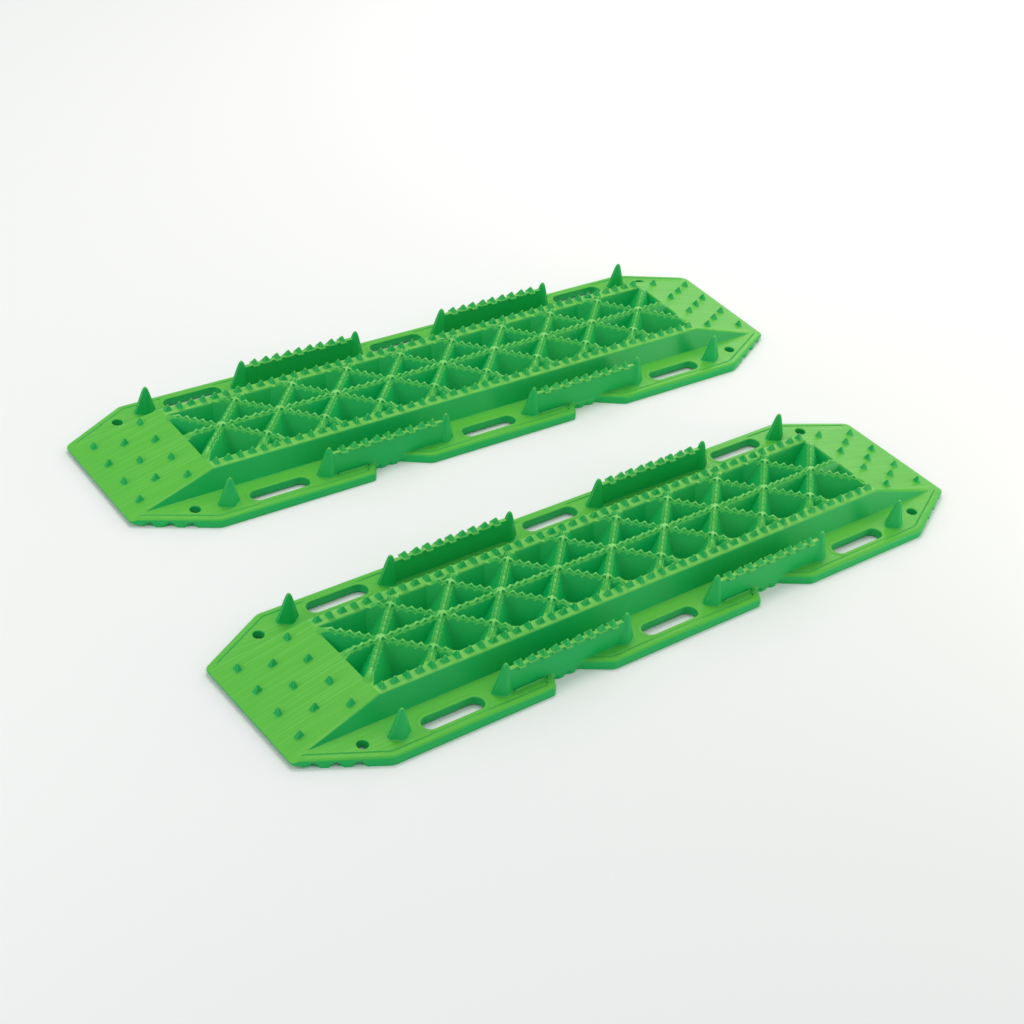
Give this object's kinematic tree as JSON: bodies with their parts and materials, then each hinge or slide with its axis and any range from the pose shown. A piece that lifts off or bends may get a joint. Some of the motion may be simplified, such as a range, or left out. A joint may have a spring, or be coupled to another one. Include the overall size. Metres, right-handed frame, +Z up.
{
  "type": "tire traction mats",
  "caption": "Long moulded plastic mats with ramped ends, a raised lattice between spiked rails and slotted side flanges, laid on snow or mud to free a stuck wheel.",
  "frame": {"origin": "middle of the pair's bounding box, on the ground", "axes": "+X along the mats, +Y from the front mat to the rear mat, +Z up"},
  "size_m": [1.2768, 0.8734, 0.061],
  "materials": {
    "green_plastic": "satin moulded green plastic"
  },
  "bodies": {
    "rear": {"rear_mat": "green_plastic"},
    "front": {"front_mat": "green_plastic"}
  },
  "joints": [
    {"name": "front_slide", "type": "slide", "parent": "rear", "child": "front", "axis": [0, 1, 0], "range_m": [-1, 0.12]}
  ]
}
